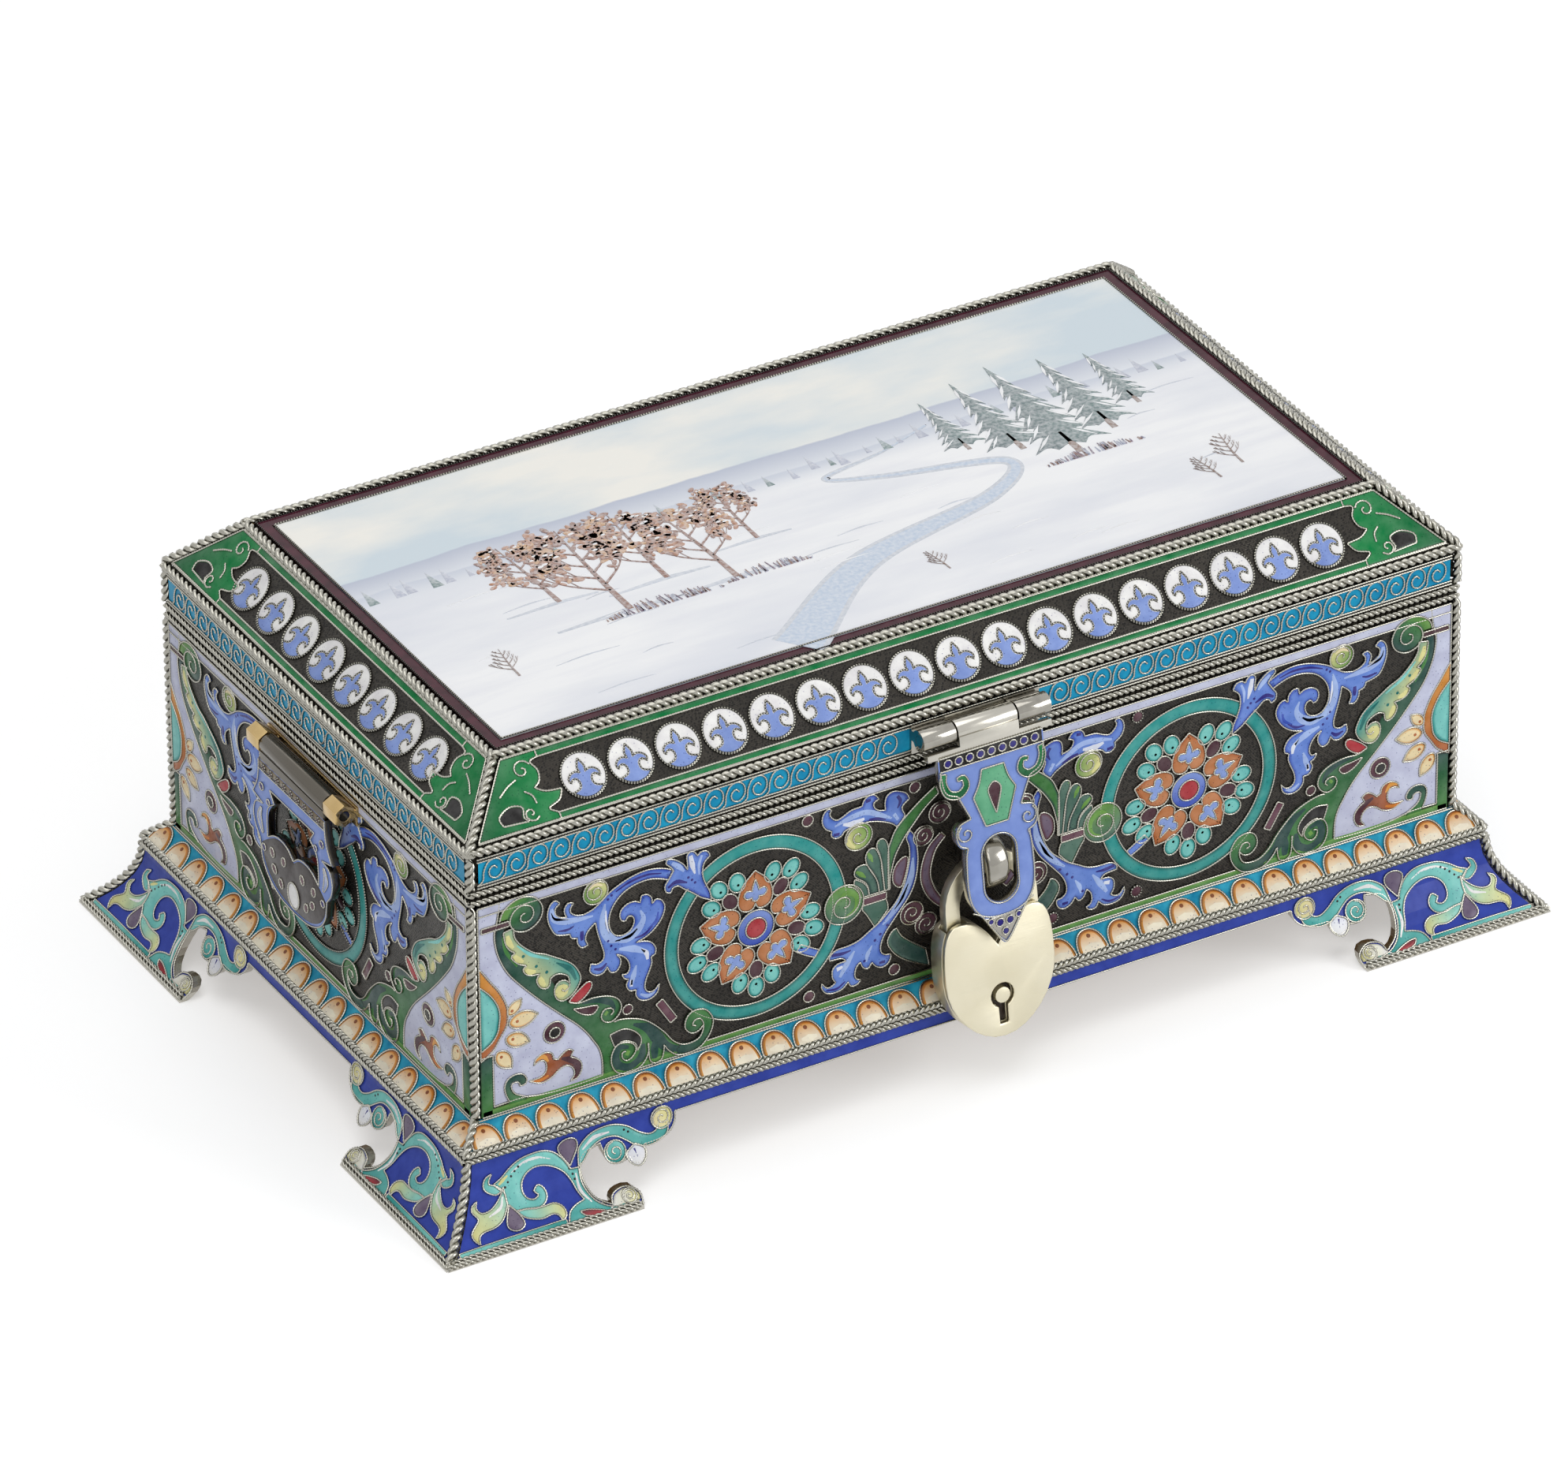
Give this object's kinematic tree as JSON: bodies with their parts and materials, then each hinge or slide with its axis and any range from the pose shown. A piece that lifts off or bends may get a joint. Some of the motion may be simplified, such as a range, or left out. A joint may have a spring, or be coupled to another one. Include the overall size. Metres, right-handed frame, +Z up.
{
  "type": "enamel casket",
  "caption": "Rectangular keepsake casket with hinged hip lid, enamel scroll panels, flared pierced feet, front hasp, staple and heart padlock, and drop handles on the ends.",
  "frame": {"origin": "on the floor, under the middle of the casket's foot outline", "axes": "+X along the casket's length to the right, +Y to the back where the lid's hinge is, +Z up; the hasp and padlock are on the -Y side"},
  "size_m": [0.19, 0.116, 0.0717],
  "materials": {
    "gilt_case": "gilded sheet metal, soft worn polish",
    "gilt_fittings": "polished gilt",
    "lock_gold": "pale gilt, finely brushed",
    "silver_wire": "twisted silver wire, darkened in the grooves",
    "silver_fittings": "polished silver",
    "wall_enamel": "wire-framed enamel scrolls on darkened silver",
    "slope_enamel": "wire-framed green enamel with white roundels",
    "frieze_enamel": "wire-framed turquoise enamel with running scrolls",
    "bead_enamel": "wire-framed cream and orange enamel beads",
    "skirt_enamel": "wire-framed cobalt enamel scrolls",
    "border_enamel": "dark plum enamel, glossy",
    "plaque_enamel": "painted enamel winter landscape, glossy",
    "mount_enamel": "wire-framed lavender enamel on pierced silver"
  },
  "bodies": {
    "casket": {"skirt_front": "skirt_enamel", "skirt_right": "skirt_enamel", "skirt_back": "skirt_enamel", "skirt_left": "skirt_enamel", "skirt_rope_front_left": "silver_wire", "skirt_rope_front_right": "silver_wire", "skirt_rope_back_right": "silver_wire", "skirt_rope_back_left": "silver_wire", "ledge_rope": "silver_wire", "rim_rope": "silver_wire", "corner_rope_front_left": "silver_wire", "corner_rope_front_right": "silver_wire", "corner_rope_back_right": "silver_wire", "corner_rope_back_left": "silver_wire", "base_plate": "gilt_case", "body_case": "gilt_case", "bead_band_front": "bead_enamel", "bead_band_right": "bead_enamel", "bead_band_back": "bead_enamel", "bead_band_left": "bead_enamel", "wall_panel_front": "wall_enamel", "wall_panel_right": "wall_enamel", "wall_panel_back": "wall_enamel", "wall_panel_left": "wall_enamel", "hinge_leaf_body": "silver_fittings", "staple": "silver_fittings", "handle_pin_left": "silver_fittings", "handle_pin_right": "silver_fittings", "handle_bracket_left": "gilt_fittings", "handle_bracket_right": "gilt_fittings"},
    "lid": {"lid_shell": "gilt_case", "lid_rim_rope": "silver_wire", "slope_rope": "silver_wire", "top_rope": "silver_wire", "plaque_frame": "border_enamel", "plaque": "plaque_enamel", "hinge_leaf_lid": "silver_fittings", "hinge_pin": "silver_fittings", "hasp_leaf": "silver_fittings", "hasp_pin": "silver_fittings", "frieze_panel_front": "frieze_enamel", "frieze_panel_right": "frieze_enamel", "frieze_panel_back": "frieze_enamel", "frieze_panel_left": "frieze_enamel", "slope_panel_front": "slope_enamel", "slope_panel_right": "slope_enamel", "slope_panel_back": "slope_enamel", "slope_panel_left": "slope_enamel", "hip_rope_front_left": "silver_wire", "hip_rope_front_right": "silver_wire", "hip_rope_back_right": "silver_wire", "hip_rope_back_left": "silver_wire"},
    "hasp": {"hasp": "mount_enamel"},
    "shackle": {"shackle": "lock_gold"},
    "padlock": {"lock_body": "lock_gold", "lock_front_plate": "lock_gold", "shackle_pin": "lock_gold"},
    "handle_left": {"handle_left": "mount_enamel"},
    "handle_right": {"handle_right": "mount_enamel"}
  },
  "joints": [
    {"name": "lid_hinge", "type": "hinge", "parent": "casket", "child": "lid", "pos_m": [0, 0.04945, 0.05425], "axis": [-1, 0, 0], "range_deg": [0, 105]},
    {"name": "hasp_swing", "type": "hinge", "parent": "lid", "child": "hasp", "pos_m": [0, -0.0496, 0.0594], "axis": [-1, 0, 0], "range_deg": [0, 150]},
    {"name": "padlock_swing", "type": "hinge", "parent": "casket", "child": "shackle", "pos_m": [0, -0.0504, 0.0363], "axis": [0, -0.989, 0.1478], "range_deg": [-12, 12]},
    {"name": "shackle_open", "type": "hinge", "parent": "shackle", "child": "padlock", "pos_m": [0.0066, -0.05212, 0.02483], "axis": [0, -0.989, 0.1478], "range_deg": [0, 45]},
    {"name": "handle_left_swing", "type": "hinge", "parent": "casket", "child": "handle_left", "pos_m": [-0.0865, 0, 0.0514], "axis": [0, 1, 0], "range_deg": [0, 95]},
    {"name": "handle_right_swing", "type": "hinge", "parent": "casket", "child": "handle_right", "pos_m": [0.0865, 0, 0.0514], "axis": [0, -1, 0], "range_deg": [0, 95]}
  ]
}
